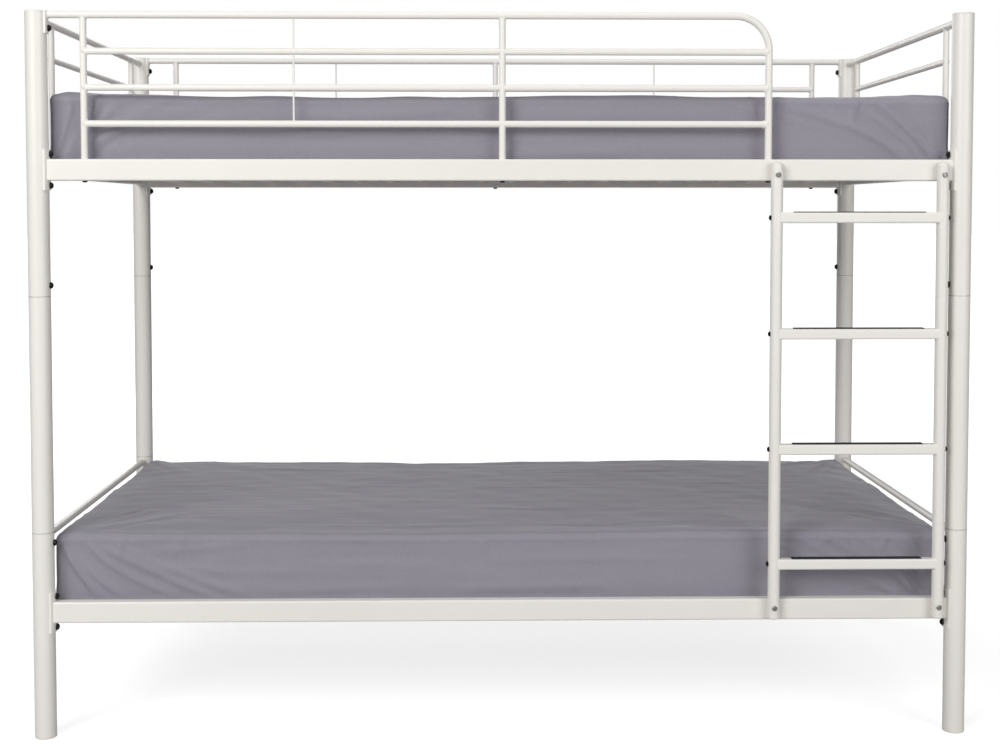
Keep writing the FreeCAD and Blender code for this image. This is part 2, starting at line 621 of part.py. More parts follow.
rungs = [
    rectangular_tube("X", (LEFT_STILE_X, STILE_Y, z), "dims.ladder_width", "dims.rung_depth",
                     "dims.rung_height")
    for z in rung_heights
]
node("ladder_rungs", cut(group(rungs), group(stile_solids)))
treads = []
for z in rung_heights:
    x = f"({RIGHT_STILE_X} - (dims.ladder_width + dims.tread_length) / 2)"
    y = f"({STILE_Y} - dims.tread_width / 2)"
    treads.append(block((x, y, f"({z} + dims.rung_height / 2)"), "dims.tread_length",
                        "dims.tread_width", "dims.tread_thickness"))
node("rung_treads", group(treads))
node("rung_bolts", group(rung_bolts))
node("ladder_bolts", group([
    bolt("Y", (x, f"({STILE_Y} - dims.stile_diameter / 2)", z),
         "dims.stile_diameter + dims.ladder_bolt_grip", "thin")
    for x, z in ladder_bolt_places
]))

# ------------------------------------------------------------------------- the mattresses
for bunk, rail_top in BUNKS:
    body, sketch = new_body("XY_Plane")
    rounded_rectangle(sketch, MATTRESS_LENGTH, MATTRESS_WIDTH, "dims.mattress_corner", "mattress")
    pad = body.newObject("PartDesign::Pad", "pad")
    pad.Profile = sketch
    bind(pad, {"Length": "dims.mattress_thickness"})
    put(body, ("0", MATTRESS_Y, f"({rail_top} - dims.slat_drop + dims.mattress_gap)"))
    doc.recompute()
    flat_faces = [
        f"Face{i}" for i, face in enumerate(pad.Shape.Faces, start=1)
        if abs(face.normalAt(0, 0).z) > 0.9
    ]
    edge = body.newObject("PartDesign::Fillet", "edge")
    edge.Base = (pad, flat_faces)
    bind(edge, {"Radius": "dims.mattress_edge"})
    body.Tip = edge
    node(f"{bunk}_mattress", body)

# -------------------------------------------------------------------- check and write out
doc.recompute()
for piece in doc.Objects:
    if "Invalid" in piece.State or "Error" in piece.State:
        raise RuntimeError(f"{piece.Label} did not compute: {piece.State}")
for piece in nodes:
    if piece.Shape.isNull() or not piece.Shape.isValid() or not piece.Shape.Solids:
        raise RuntimeError(f"{piece.Label} has no valid solid")

os.makedirs("parts", exist_ok=True)
for piece in nodes:
    piece.Shape.exportStep(f"parts/{piece.Label}.step")
    print(f"{piece.Label}: {len(piece.Shape.Solids)} solids")
print(len(nodes), "nodes")
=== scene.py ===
import json
import math
import random

import bmesh
import bpy
import numpy
from mathutils import Matrix, Vector


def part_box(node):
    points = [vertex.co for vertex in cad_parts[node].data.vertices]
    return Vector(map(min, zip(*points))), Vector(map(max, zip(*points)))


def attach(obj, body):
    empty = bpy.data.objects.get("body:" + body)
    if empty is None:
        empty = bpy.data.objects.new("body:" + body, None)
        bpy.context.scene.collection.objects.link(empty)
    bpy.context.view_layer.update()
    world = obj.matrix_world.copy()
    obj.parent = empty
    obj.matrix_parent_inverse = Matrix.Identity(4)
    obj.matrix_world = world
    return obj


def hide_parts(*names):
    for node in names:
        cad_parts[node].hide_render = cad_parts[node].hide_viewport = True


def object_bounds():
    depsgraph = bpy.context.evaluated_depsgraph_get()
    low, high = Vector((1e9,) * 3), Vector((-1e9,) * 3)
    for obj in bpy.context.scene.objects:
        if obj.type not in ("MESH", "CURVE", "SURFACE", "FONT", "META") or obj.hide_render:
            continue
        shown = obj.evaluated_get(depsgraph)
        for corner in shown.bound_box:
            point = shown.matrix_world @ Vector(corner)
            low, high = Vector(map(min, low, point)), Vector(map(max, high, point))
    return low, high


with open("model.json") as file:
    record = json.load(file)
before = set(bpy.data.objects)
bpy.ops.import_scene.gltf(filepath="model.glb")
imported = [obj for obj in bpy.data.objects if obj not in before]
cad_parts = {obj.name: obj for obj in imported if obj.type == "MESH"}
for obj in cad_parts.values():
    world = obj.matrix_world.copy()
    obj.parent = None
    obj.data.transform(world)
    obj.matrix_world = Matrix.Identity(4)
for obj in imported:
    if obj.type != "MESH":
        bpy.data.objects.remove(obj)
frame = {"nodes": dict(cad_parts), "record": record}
cad_box = [list(corner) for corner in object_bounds()]


# ------------------------------------------------------------------ small shop functions
def linear(hex_code):
    """An sRGB hex colour as linear RGBA."""
    channels = [int(hex_code[i:i + 2], 16) / 255 for i in (1, 3, 5)]
    return [c / 12.92 if c <= 0.04045 else ((c + 0.055) / 1.055) ** 2.4 for c in channels] + [1.0]


def add_node(tree, kind, inputs=None, **settings):
    """A node with its settings, and its inputs set or linked."""
    node = tree.nodes.new(kind)
    for name, value in settings.items():
        setattr(node, name, value)
    for key, value in (inputs or {}).items():
        if isinstance(value, bpy.types.NodeSocket):
            tree.links.new(value, node.inputs[key])
        else:
            node.inputs[key].default_value = value
    return node


def new_material(name):
    """An empty material with its output node and its object coordinates."""
    material = bpy.data.materials.new(name)
    material.use_nodes = True
    tree = material.node_tree
    tree.nodes.clear()
    output = add_node(tree, "ShaderNodeOutputMaterial")
    place = add_node(tree, "ShaderNodeTexCoord").outputs["Object"]
    return material, tree, output, place


# ---------------------------------------------------------------------------- materials
def satin_powder_coat():
    """White polyester powder coat, sprayed and baked: satin, with a faint orange peel."""
    material, tree, output, place = new_material("satin_powder_coat")
    tone = add_node(tree, "ShaderNodeTexNoise", {"Vector": place, "Scale": 3.5, "Detail": 3.0})
    colour = add_node(tree, "ShaderNodeMix", {
        "Factor": tone.outputs["Fac"], "A": linear("#EFECE6"), "B": linear("#E7E4DE"),
    }, data_type="RGBA")
    # The real peel is about 2 mm from crest to crest; 5 mm lets it break up the highlights.
    peel = add_node(tree, "ShaderNodeTexNoise", {"Vector": place, "Scale": 200.0, "Detail": 1.5})
    bump = add_node(tree, "ShaderNodeBump", {
        "Height": peel.outputs["Fac"], "Strength": 0.10, "Distance": 0.0006,
    })
    sheen = add_node(tree, "ShaderNodeMapRange", {
        "Value": tone.outputs["Fac"], "To Min": 0.30, "To Max": 0.42,
    })
    shader = add_node(tree, "ShaderNodeBsdfPrincipled", {
        "Base Color": colour.outputs["Result"], "Roughness": sheen.outputs["Result"],
        "Normal": bump.outputs["Normal"], "IOR": 1.5,
    })
    tree.links.new(shader.outputs["BSDF"], output.inputs["Surface"])
    return material


def black_oxide_steel():
    """Blackened button-head bolts: dark, half glossy, with rubbed high spots."""
    material, tree, output, place = new_material("black_oxide_steel")
    rub = add_node(tree, "ShaderNodeTexNoise", {"Vector": place, "Scale": 260.0, "Detail": 4.0})
    mask = add_node(tree, "ShaderNodeMapRange", {
        "Value": rub.outputs["Fac"], "From Min": 0.55, "From Max": 0.75,
    })
    colour = add_node(tree, "ShaderNodeMix", {
        "Factor": mask.outputs["Result"], "A": linear("#1B1B1C"), "B": linear("#4A4A49"),
    }, data_type="RGBA")
    shader = add_node(tree, "ShaderNodeBsdfPrincipled", {
        "Base Color": colour.outputs["Result"], "Metallic": 0.7, "Roughness": 0.38,
    })
    tree.links.new(shader.outputs["BSDF"], output.inputs["Surface"])
    return material


def bright_zinc_plate():
    """Zinc-plated ladder bolts: light grey metal with a slightly cloudy finish."""
    material, tree, output, place = new_material("bright_zinc_plate")
    cloud = add_node(tree, "ShaderNodeTexNoise", {"Vector": place, "Scale": 180.0, "Detail": 3.0})
    colour = add_node(tree, "ShaderNodeMix", {
        "Factor": cloud.outputs["Fac"], "A": linear("#8E8C88"), "B": linear("#B4B2AD"),
    }, data_type="RGBA")
    haze = add_node(tree, "ShaderNodeMapRange", {
        "Value": cloud.outputs["Fac"], "To Min": 0.25, "To Max": 0.5,
    })
    shader = add_node(tree, "ShaderNodeBsdfPrincipled", {
        "Base Color": colour.outputs["Result"], "Metallic": 1.0,
        "Roughness": haze.outputs["Result"],
    })
    tree.links.new(shader.outputs["BSDF"], output.inputs["Surface"])
    return material


def drawn_steel():
    """Plain drawn tube of the hidden sleeves and inserts: grey, with fine lengthwise scratches."""
    material, tree, output, place = new_material("drawn_steel")
    stretch = add_node(tree, "ShaderNodeMapping", {"Vector": place, "Scale": (900.0, 900.0, 12.0)})
    scratch = add_node(tree, "ShaderNodeTexNoise", {
        "Vector": stretch.outputs["Vector"], "Scale": 1.0, "Detail": 2.0,
    })
    colour = add_node(tree, "ShaderNodeMix", {
        "Factor": scratch.outputs["Fac"], "A": linear("#77767A"), "B": linear("#96959A"),
    }, data_type="RGBA")
    shader = add_node(tree, "ShaderNodeBsdfPrincipled", {
        "Base Color": colour.outputs["Result"], "Metallic": 1.0, "Roughness": 0.45,
    })
    tree.links.new(shader.outputs["BSDF"], output.inputs["Surface"])
    return material


def moulded_polythene():
    """Injection-moulded white polythene caps and feet: softer and a little warmer than the steel."""
    material, tree, output, place = new_material("moulded_polythene")
    flow = add_node(tree, "ShaderNodeTexNoise", {"Vector": place, "Scale": 40.0, "Detail": 2.0})
    colour = add_node(tree, "ShaderNodeMix", {
        "Factor": flow.outputs["Fac"], "A": linear("#ECE9E1"), "B": linear("#E2DFD6"),
    }, data_type="RGBA")
    grain = add_node(tree, "ShaderNodeTexNoise", {"Vector": place, "Scale": 900.0, "Detail": 1.0})
    bump = add_node(tree, "ShaderNodeBump", {
        "Height": grain.outputs["Fac"], "Strength": 0.12, "Distance": 0.0003,
    })
    shader = add_node(tree, "ShaderNodeBsdfPrincipled", {
        "Base Color": colour.outputs["Result"], "Roughness": 0.5,
        "Normal": bump.outputs["Normal"], "IOR": 1.5, "Subsurface Weight": 0.05,
        "Subsurface Radius": (0.002, 0.002, 0.0015),
    })
    tree.links.new(shader.outputs["BSDF"], output.inputs["Surface"])
    return material


def black_rubber():
    """Extruded rubber strip on the rungs: dull black, dusty on top."""
    material, tree, output, place = new_material("black_rubber")
    dust = add_node(tree, "ShaderNodeTexNoise", {"Vector": place, "Scale": 90.0, "Detail": 5.0})
    colour = add_node(tree, "ShaderNodeMix", {
        "Factor": dust.outputs["Fac"], "A": linear("#171718"), "B": linear("#2A2A2B"),
    }, data_type="RGBA")
    bump = add_node(tree, "ShaderNodeBump", {
        "Height": dust.outputs["Fac"], "Strength": 0.2, "Distance": 0.0004,
    })
    shader = add_node(tree, "ShaderNodeBsdfPrincipled", {
        "Base Color": colour.outputs["Result"], "Roughness": 0.75,
        "Normal": bump.outputs["Normal"], "IOR": 1.52,
    })
    tree.links.new(shader.outputs["BSDF"], output.inputs["Surface"])
    return material


def washed_cotton():
    """Grey-lilac cotton percale sheet: matt, a little slubby, softly crumpled by use."""
    material, tree, output, place = new_material("washed_cotton")
    warp_space = add_node(tree, "ShaderNodeMapping", {"Vector": place, "Scale": (90.0, 1400.0, 1400.0)})
    warp = add_node(tree, "ShaderNodeTexNoise", {
        "Vector": warp_space.outputs["Vector"], "Scale": 1.0, "Detail": 2.0,
    })
    weft_space = add_node(tree, "ShaderNodeMapping", {"Vector": place, "Scale": (1400.0, 90.0, 90.0)})
    weft = add_node(tree, "ShaderNodeTexNoise", {
        "Vector": weft_space.outputs["Vector"], "Scale": 1.0, "Detail": 2.0,
    })
    threads = add_node(tree, "ShaderNodeMath", {0: warp.outputs["Fac"], 1: weft.outputs["Fac"]},
                       operation="ADD")
    slubs = add_node(tree, "ShaderNodeMapRange", {
        "Value": threads.outputs["Value"], "From Min": 0.7, "From Max": 1.3,
    })
    fade = add_node(tree, "ShaderNodeTexNoise", {"Vector": place, "Scale": 5.0, "Detail": 4.0})
    plain = add_node(tree, "ShaderNodeMix", {
        "Factor": fade.outputs["Fac"], "A": linear("#88858F"), "B": linear("#8F8D96"),
    }, data_type="RGBA")
    colour = add_node(tree, "ShaderNodeMix", {
        "Factor": slubs.outputs["Result"], "A": plain.outputs["Result"], "B": linear("#94919B"),
    }, data_type="RGBA")
    # Threads stand 0.2 mm apart on a real sheet; these are a few times coarser, to show close up.
    weave = add_node(tree, "ShaderNodeBump", {
        "Height": threads.outputs["Value"], "Strength": 0.25, "Distance": 0.0003,
    })
    long_space = add_node(tree, "ShaderNodeMapping", {"Vector": place, "Scale": (4.0, 14.0, 14.0)})
    crumple = add_node(tree, "ShaderNodeTexNoise", {
        "Vector": long_space.outputs["Vector"], "Scale": 1.0, "Detail": 3.0, "Distortion": 0.6,
    })
    bump = add_node(tree, "ShaderNodeBump", {
        "Height": crumple.outputs["Fac"], "Strength": 0.6, "Distance": 0.006,
        "Normal": weave.outputs["Normal"],
    })
    shader = add_node(tree, "ShaderNodeBsdfPrincipled", {
        "Base Color": colour.outputs["Result"], "Roughness": 0.85, "Specular IOR Level": 0.25,
        "Sheen Weight": 0.25, "Sheen Roughness": 0.4, "Normal": bump.outputs["Normal"],
    })
    tree.links.new(shader.outputs["BSDF"], output.inputs["Surface"])
    return material


COAT = satin_powder_coat()
BLACK_BOLT = black_oxide_steel()
ZINC = bright_zinc_plate()
STEEL = drawn_steel()
PLASTIC = moulded_polythene()
RUBBER = black_rubber()
COTTON = washed_cotton()
FINISHES = {
    "white_powder_coat": COAT,
    "black_steel": BLACK_BOLT,
    "zinc_steel": ZINC,
    "plain_steel": STEEL,
    "white_plastic": PLASTIC,
    "black_rubber": RUBBER,
    "sheet_cotton": COTTON,
}
for part in frame["record"]["subparts"]:
    mesh = frame["nodes"][part["node"]].data
    mesh.materials.clear()
    mesh.materials.append(FINISHES[part["material_slot"]])


# ---------------------------------------------------------------------------- mattresses
# The foam block under each sheet.
SHEET_CELLS = (150, 76, 14)           # cells along X, Y and Z, before they are halved
SHEET_CROWDING = (0.45, 0.40, 0.35)   # how much smaller the cells are near the edges
SHEET_EDGE = 0.013                    # rounding of the foam's edges
END_SLACK = 0.0005                    # foam inside the CAD block at its ends
SIDE_SLACK = 0.001                    # and along its sides
SHEET_RISE = 0.004                    # foam standing above the CAD block

# The pressure simulation: a firm sheet with a little give, blown up from inside.
SWELL_FRAMES = 20
SWELL_CAP = 0.006                     # farthest that the pressure may push the sheet
UNDERSIDE = 0.008                     # height of the sheet that the pressure leaves alone
SHEET_CLOTH = {
    "quality": 5,
    "mass": 0.25,
    "tension_stiffness": 12.0,
    "compression_stiffness": 12.0,
    "shear_stiffness": 4.0,
    "bending_stiffness": 0.15,
    "use_pressure": True,
    "uniform_pressure_force": 4.0,
    "shrink_min": -0.02,
}

# The folds of each sheet, and the room that the bed leaves them.
SIDE_FOLDS = 9                        # at each corner, along the side
END_FOLDS = 6                         # and across the end
TOP_FOLDS = 4                         # and over the top
RIM_TUCKS = 46
LONG_CREASES = 40
RIM_TURN = 0.012                      # how far round the top edge a tuck starts
SOFT_WAVES = ((0.0014, 0.30), (0.0006, 0.09))   # height and length of the slow unevenness
RIM_HEIGHT = 0.0022                   # ridge along the top edge
RIM_WIDTH = 0.006
SEAM_DEPTH = 0.0020                   # corner seams of the sheet
SEAM_WIDTH = 0.0035
LAYING_ROOM = 0.02                    # height over which folds fade into the flat underside
POST_ROOM = 0.06                      # stretch beside the posts where the sides stay put
END_FOLD_SHARE = 0.45                 # height of a fold across an end, next to a full one
SIDE_SINK = 0.0034                    # how far the sides are drawn in
SAG = 0.0018                          # unevenness of the used foam
SAG_LENGTH = 1.15                     # from one of its crests to the next
END_ROOM = 0.0015                     # the sheet may stand this far out at its ends
SIDE_ROOM = 0.0045                    # this far along its sides
TOP_ROOM = 0.013                      # and this far above the CAD block


def box_corners(node_name):
    """Lowest and highest corner of a CAD node."""
    low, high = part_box(node_name)
    return Vector(low), Vector(high)


def finished_object(name, mesh):
    """A mesh as an object in the scene."""
    piece = bpy.data.objects.new(name, mesh)
    bpy.context.scene.collection.objects.link(piece)
    return piece


def baked(piece, name):
    """A piece's mesh with its modifiers applied, as a new object; the first one is removed."""
    bpy.context.view_layer.update()
    mesh = bpy.data.meshes.new_from_object(piece.evaluated_get(bpy.context.evaluated_depsgraph_get()))
    mesh.name = name
    bpy.data.objects.remove(piece)
    return finished_object(name, mesh)


def read_points(mesh, kind="co"):
    """Positions or normals of a mesh's points as an array."""
    values = numpy.empty(len(mesh.vertices) * 3)
    mesh.vertices.foreach_get(kind, values)
    return values.reshape(-1, 3)


def write_points(mesh, points):
    """Move a mesh's points."""
    mesh.vertices.foreach_set("co", points.ravel())
    mesh.update()


def crowded(share, pull):
    """A share of a length, moved so that cells crowd towards both of its ends."""
    return share - pull * math.sin(2 * math.pi * share) / (2 * math.pi)


def foam_block(name, low, high):
    """A block of cells with round edges, a little narrower than the CAD one and fuller on top."""
    low = low + Vector((END_SLACK, SIDE_SLACK, 0.0))
    high = high - Vector((END_SLACK, SIDE_SLACK, -SHEET_RISE))
    bm = bmesh.new()
    bmesh.ops.create_cube(bm, size=1.0)
    for axis, cells in enumerate(SHEET_CELLS):
        across = [e for e in bm.edges if abs((e.verts[0].co - e.verts[1].co)[axis]) > 0.5]
        bmesh.ops.subdivide_edges(bm, edges=across, cuts=cells - 1, use_grid_fill=True)
    for point in bm.verts:
        for axis, pull in enumerate(SHEET_CROWDING):
            share = crowded(point.co[axis] + 0.5, pull)
            point.co[axis] = low[axis] + share * (high[axis] - low[axis])
        core = Vector(min(max(point.co[i], low[i] + SHEET_EDGE), high[i] - SHEET_EDGE)
                      for i in range(3))
        out = point.co - core
        point.co = core + out.normalized() * SHEET_EDGE
    mesh = bpy.data.meshes.new(name)
    bm.to_mesh(mesh)
    bm.free()
    return finished_object(name, mesh)


def swell(block, low):
    """Blow the sheet up over its foam by a pressure simulation, its underside held flat."""
    start = read_points(block.data)
    held = block.vertex_groups.new(name="underside")
    held.add([i for i, p in enumerate(start) if p[2] < low.z + UNDERSIDE], 1.0, "REPLACE")
    cloth = block.modifiers.new("sheet", "CLOTH")
    for setting, value in SHEET_CLOTH.items():
        setattr(cloth.settings, setting, value)
    cloth.settings.effector_weights.gravity = 0.0
    cloth.settings.vertex_group_mass = "underside"
    for step in range(1, SWELL_FRAMES + 1):
        bpy.context.scene.frame_set(step)
    swollen = baked(block, block.name)
    bpy.context.scene.frame_set(1)
    ends = read_points(swollen.data)
    push = ends - start
    # The foam's own edge holds the rim up where the pressure would pull it in.
    rim = start[:, 2] > start[:, 2].max() - SHEET_EDGE
    push[:, 2] = numpy.where(rim, numpy.maximum(push[:, 2], 0.0), push[:, 2])
    far = numpy.linalg.norm(push, axis=1, keepdims=True)
    write_points(swollen.data, start + push * numpy.minimum(1.0, SWELL_CAP / (far + 1e-9)))
    swollen.vertex_groups.clear()
    block = swollen
    smooth = block.modifiers.new("finer", "SUBSURF")
    smooth.levels = smooth.render_levels = 1
    return baked(block, block.name)


def arc_points(first, bow, last, count=28):
    """Points along a quadratic curve."""
    t = numpy.linspace(0.0, 1.0, count)[:, None]
    first, bow, last = (numpy.array(p) for p in (first, bow, last))
    return (1 - t) ** 2 * first + 2 * t * (1 - t) * bow + t ** 2 * last


def fold_height(points, path, width, height):
    """How far one fold lifts each point: a ridge with a shallow trough on each side."""
    lift = numpy.zeros(len(points))
    reach = 3.2 * width
    low, high = path.min(axis=0) - reach, path.max(axis=0) + reach
    near = numpy.nonzero(numpy.all((points > low) & (points < high), axis=1))[0]
    if not len(near):
        return lift
    # Distance counts along the face; the sheet's own bulge under the fold hardly does.
    weights = numpy.ones(3)
    weights[numpy.argmin(numpy.ptp(path, axis=0))] = 0.25
    gaps = numpy.linalg.norm((points[near][:, None, :] - path[None, :, :]) * weights, axis=2)
    closest = gaps.argmin(axis=1)
    distance = gaps[numpy.arange(len(near)), closest] / width
    along = closest / (len(path) - 1)
    taper = numpy.sin(numpy.pi * (0.06 + 0.88 * along)) ** 0.8
    lift[near] = height * taper * (1.0 - 0.9 * distance ** 2) * numpy.exp(-distance ** 2)
    return lift


def soft_waves(points, rng, wavelength, count=7):
    """A smooth random field of about unit height, from a few slanted sine waves."""
    field = numpy.zeros(len(points))
    for _ in range(count):
        direction = numpy.array([rng.uniform(-1, 1) for _ in range(3)])
        direction /= numpy.linalg.norm(direction)
        length = wavelength * rng.uniform(0.7, 1.4)
        field += numpy.sin(points @ direction * 2 * math.pi / length + rng.uniform(0, 6.28))
    return field / math.sqrt(count)


def insets(points, low, high, corner=SHEET_EDGE):
    """For each point, its inset from the upright outline and how near it is to a corner's middle."""
    middle = (numpy.array(low) + numpy.array(high)) / 2
    half = (numpy.array(high) - numpy.array(low))[:2] / 2 - corner
    q = numpy.abs(points[:, :2] - middle[:2]) - half
    outside = numpy.linalg.norm(numpy.maximum(q, 0.0), axis=1)
    inset = corner - (outside + numpy.minimum(numpy.max(q, axis=1), 0.0))
    in_corner = numpy.min(q, axis=1) > -0.004
    return inset, numpy.where(in_corner, numpy.abs(q[:, 0] - q[:, 1]), 1.0)


def corner_folds(rng, low, high, side_x, side_y, from_foot):
    """Tension folds that fan out of one corner along the side, across the end and over the top."""
    corner_x = high.x if side_x > 0 else low.x
    corner_y = high.y if side_y > 0 else low.y
    folds = []
    for along_side in (True, False):
        for i in range(SIDE_FOLDS if along_side else END_FOLDS):
            near = 0.012 + 0.015 * i + rng.uniform(0, 0.014)
            far = near + 0.035 + 0.032 * i + rng.uniform(0, 0.05)
            foot, head = low.z + rng.uniform(0.008, 0.03), high.z - rng.uniform(0.004, 0.03)
            near_z, far_z = (foot, head) if from_foot else (head, foot)
            bow = (near + far) / 2 + rng.uniform(-0.4, 0.1) * (far - near)
            bow_z = (near_z + far_z) / 2
            stops = ((near, near_z), (bow, bow_z), (far, far_z))
            if along_side:
                path = [(corner_x - side_x * away, corner_y, z) for away, z in stops]
            else:
                path = [(corner_x, corner_y - side_y * away, z) for away, z in stops]
            fade = 1.0 - 0.07 * i
            folds.append((path, rng.uniform(0.007, 0.012), fade * rng.uniform(0.0042, 0.0078)))
    for _ in range(TOP_FOLDS):
        reach = rng.uniform(0.10, 0.30)
        turn = math.radians(rng.uniform(20, 70))
        start = rng.uniform(0.015, 0.05)
        path = []
        for share in (0.0, 0.5, 1.0):
            away = start + share * reach
            path.append((corner_x - side_x * away * math.cos(turn + 0.25 * share),
                         corner_y - side_y * away * math.sin(turn + 0.25 * share), high.z))
        folds.append((path, rng.uniform(0.011, 0.018), rng.uniform(0.0025, 0.0045)))
    return folds


def rim_tucks(rng, low, high, count):
    """Short folds where the sheet turns from the top down the front, back and ends."""
    folds = []
    for _ in range(count):
        drop = rng.uniform(0.02, 0.07)
        slant = rng.uniform(-0.02, 0.02)
        if rng.random() < 0.7:
            x = rng.uniform(low.x + 0.05, high.x - 0.05)
            if rng.random() < 0.6:
                x = (high.x - rng.uniform(0.05, 0.3)) if rng.random() < 0.5 else (
                    low.x + rng.uniform(0.05, 0.3))
            y = rng.choice((low.y, high.y))
            inward = RIM_TURN if y == low.y else -RIM_TURN
            path = [(x, y + inward, high.z), (x, y, high.z - RIM_TURN), (x + slant, y, high.z - drop)]
        else:
            y = rng.uniform(low.y + 0.06, high.y - 0.06)
            x = rng.choice((low.x, high.x))
            inward = RIM_TURN if x == low.x else -RIM_TURN
            path = [(x + inward, y, high.z), (x, y, high.z - RIM_TURN), (x, y + slant, high.z - drop)]
        folds.append((path, rng.uniform(0.007, 0.011), rng.uniform(0.0018, 0.0036)))
    return folds


def long_creases(rng, low, high, count):
    """Faint creases that run lengthwise over the top and the long sides."""
    folds = []
    for _ in range(count):
        reach = rng.uniform(0.12, 0.5)
        x = rng.uniform(low.x + 0.05, high.x - 0.05 - reach)
        bow = rng.uniform(-0.02, 0.02)
        lean = rng.uniform(-0.03, 0.03)
        if rng.random() < 0.55:
            z = rng.uniform(low.z + 0.03, high.z - 0.03)
            y = rng.choice((low.y, high.y))
            path = [(x, y, z), (x + reach / 2, y, z + bow / 2), (x + reach, y, z + lean / 2)]
        else:
            y = rng.uniform(low.y + 0.05, high.y - 0.05)
            path = [(x, y, high.z), (x + reach / 2, y + 2 * bow, high.z), (x + reach, y + lean, high.z)]
        folds.append((path, rng.uniform(0.009, 0.016), rng.uniform(0.0014, 0.0030)))
    return folds


def dress_sheet(block, low, high, seed, foot_corners):
    """Pull the sheet into its folds, press in its corner seams and raise the edge of the foam."""
    mesh = block.data
    rng = random.Random(seed)
    points = read_points(mesh)
    normals = read_points(mesh, "normal")
    folds = rim_tucks(rng, low, high, RIM_TUCKS) + long_creases(rng, low, high, LONG_CREASES)
    for side_x in (-1, 1):
        for side_y in (-1, 1):
            folds += corner_folds(rng, low, high, side_x, side_y, (side_x, side_y) in foot_corners)
    lift = sum(height * soft_waves(points, rng, length) for height, length in SOFT_WAVES)
    for stops, width, height in folds:
        lift += fold_height(points, arc_points(*stops), width, height)
    # A raised rim of foam along the top edge, and a shallow seam down each corner.
    inset, off_seam = insets(points, low, high)
    depth = high.z + SHEET_RISE - 0.005 - points[:, 2]
    on_rim = (inset < 0.02) & (depth < 0.02)
    ridge = RIM_HEIGHT * numpy.exp(-((inset - depth) / RIM_WIDTH) ** 2)
    lift += numpy.where(on_rim, ridge, 0.0)
    on_side = (inset < 0.015) & (depth > 0.006)
    groove = SEAM_DEPTH * numpy.exp(-(off_seam / SEAM_WIDTH) ** 2)
    lift -= numpy.where(on_side, groove, 0.0)
    above_foot = numpy.clip((points[:, 2] - low.z) / LAYING_ROOM, 0.0, 1.0)
    lift *= above_foot
    # The ends lie close to the end rails, so their folds are low; the sides, away from the
    # posts, are drawn in so that their folds have room to stand out.
    inside = numpy.minimum(points[:, 0] - low.x, high.x - points[:, 0])
    free = numpy.clip(inside / POST_ROOM, 0.0, 1.0)
    lift = numpy.where(numpy.abs(normals[:, 0]) > 0.7, END_FOLD_SHARE * lift, lift)
    lift -= SIDE_SINK * free * numpy.abs(normals[:, 1]) * above_foot
    points += normals * lift[:, None]
    # Use has left the foam slightly uneven along its length.
    sag = SAG * numpy.cos(points[:, 0] * 2 * math.pi / SAG_LENGTH + seed)
    points[:, 2] += sag * numpy.clip((points[:, 2] - low.z) / (high.z - low.z), 0.0, 1.0) ** 2
    room = END_ROOM + (SIDE_ROOM - END_ROOM) * free
    points[:, 0] = numpy.clip(points[:, 0], low.x - END_ROOM, high.x + END_ROOM)
    points[:, 1] = numpy.clip(points[:, 1], low.y - room, high.y + room)
    points[:, 2] = numpy.clip(points[:, 2], low.z, high.z + TOP_ROOM)
    write_points(mesh, points)
    mesh.shade_smooth()


def build_mattress(bunk, seed, foot_corners):
    """One mattress in its fitted sheet."""
    low, high = box_corners(f"{bunk}_mattress")
    sheet = swell(foam_block(f"{bunk}_mattress_sheet", low, high), low)
    dress_sheet(sheet, low, high, seed, foot_corners)
    sheet.data.materials.clear()
    sheet.data.materials.append(COTTON)
    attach(sheet, f"{bunk}_bedding")
    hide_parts(f"{bunk}_mattress")


build_mattress("upper", 11, ((1, -1), (-1, -1), (1, 1)))
build_mattress("lower", 23, ((1, -1), (-1, 1)))


# ------------------------------------------------------------------------- small pieces
TREAD_RIBS = 6
TREAD_SOLE = 0.0012                   # the strip under its ribs
TREAD_EDGE = 0.0005                   # sole showing at each end of a rib
RIB_HALF_WIDTH = 0.3                  # of the pitch
SEAM_GAP = 0.0010                     # bare sleeve between two post sections, its grey also painted shade for the joint's shadow line
SEAM_PROUD = 0.00005
BEAD_SIZE = 0.0017
BEAD_RIPPLE = 0.0003
BEAD_RIPPLES = 22                     # round one bead
BRACKET_PLATE = 0.003                 # thickness of the guard brackets on the posts
GUARD_BAR = 0.007                     # radii of the welded round tubes
GUARD_TOP = 0.0075
END_BAR = 0.0065
END_RAIL = 0.008
SHARP_ANGLE = 40


def solids_of(node_name):
    """Lowest and highest corner of each separate solid of a CAD node."""
    bm = bmesh.new()
    bm.from_mesh(frame["nodes"][node_name].data)
    bmesh.ops.remove_doubles(bm, verts=bm.verts, dist=0.00002)
    left, boxes = set(bm.verts), []
    while left:
        waiting = [left.pop()]
        island = []
        while waiting:
            point = waiting.pop()
            island.append(point.co.copy())
            for edge in point.link_edges:
                other = edge.other_vert(point)
                if other in left:
                    left.remove(other)
                    waiting.append(other)
        boxes.append((Vector(min(p[i] for p in island) for i in range(3)),
                      Vector(max(p[i] for p in island) for i in range(3))))
    bm.free()
    return sorted(boxes, key=lambda box: tuple(round(value, 5) for value in box[0]))


def finish_piece(bm, name, material, slot, *nodes):
    """Make a piece of the bed frame from a mesh, in place of some CAD nodes."""
    bmesh.ops.recalc_face_normals(bm, faces=bm.faces)
    mesh = bpy.data.meshes.new(name)
    bm.to_mesh(mesh)
    bm.free()
    mesh.materials.append(material)
    piece = finished_object(name, mesh)
    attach(piece, "bed_frame")
    if nodes:
        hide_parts(*nodes)
    return piece


